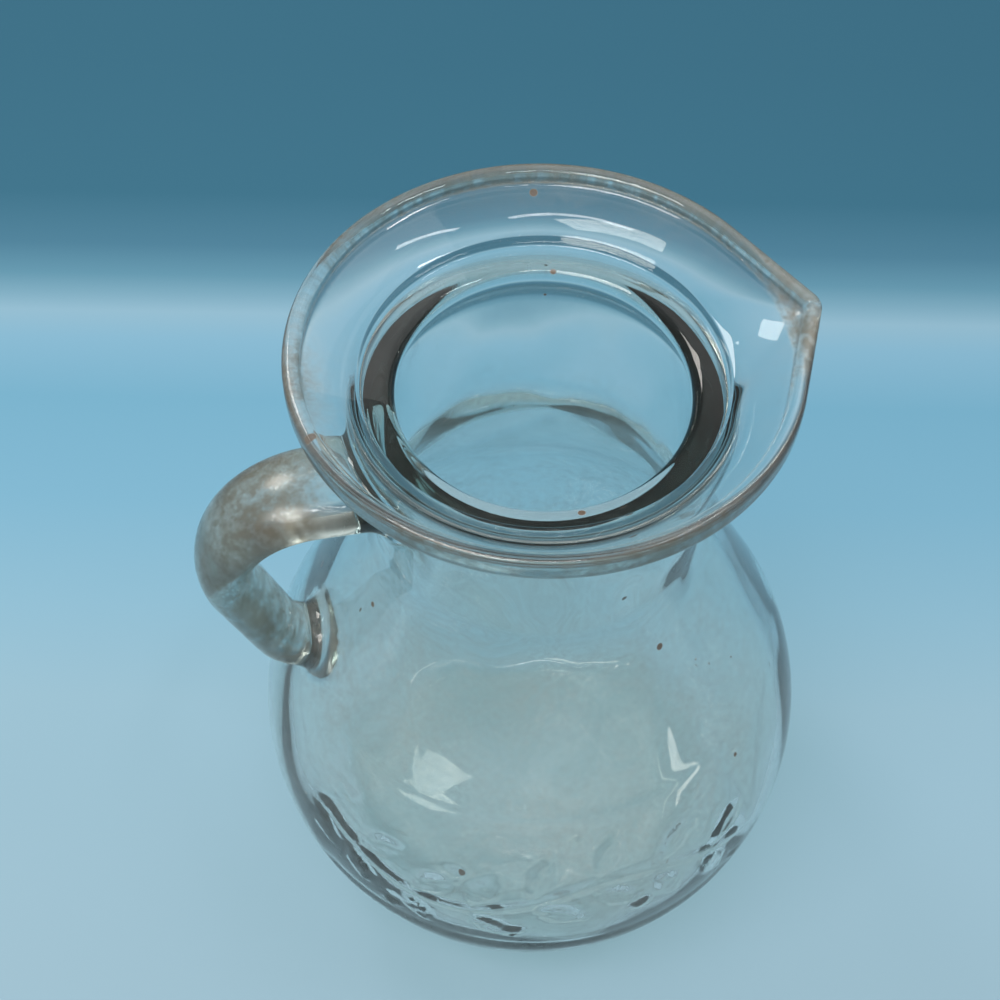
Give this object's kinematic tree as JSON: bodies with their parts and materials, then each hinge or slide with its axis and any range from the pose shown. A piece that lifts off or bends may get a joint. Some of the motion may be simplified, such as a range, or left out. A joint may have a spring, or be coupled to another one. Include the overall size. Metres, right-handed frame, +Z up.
{
  "type": "glass pitcher",
  "caption": "Clear glass pitcher with a round bulb, drawn-in neck, dished rim with a lid seat, pinched pouring lip and ear handle.",
  "frame": {"origin": "on the pitcher's axis, at the level its foot stands on", "axes": "+Z up along the pitcher's axis, +X towards the pouring lip, the handle towards -X"},
  "size_m": [0.1427, 0.1334, 0.186],
  "materials": {
    "glass": "clear, slightly green-grey, fire polished"
  },
  "bodies": {
    "root": {"pitcher": "glass"}
  },
  "joints": []
}
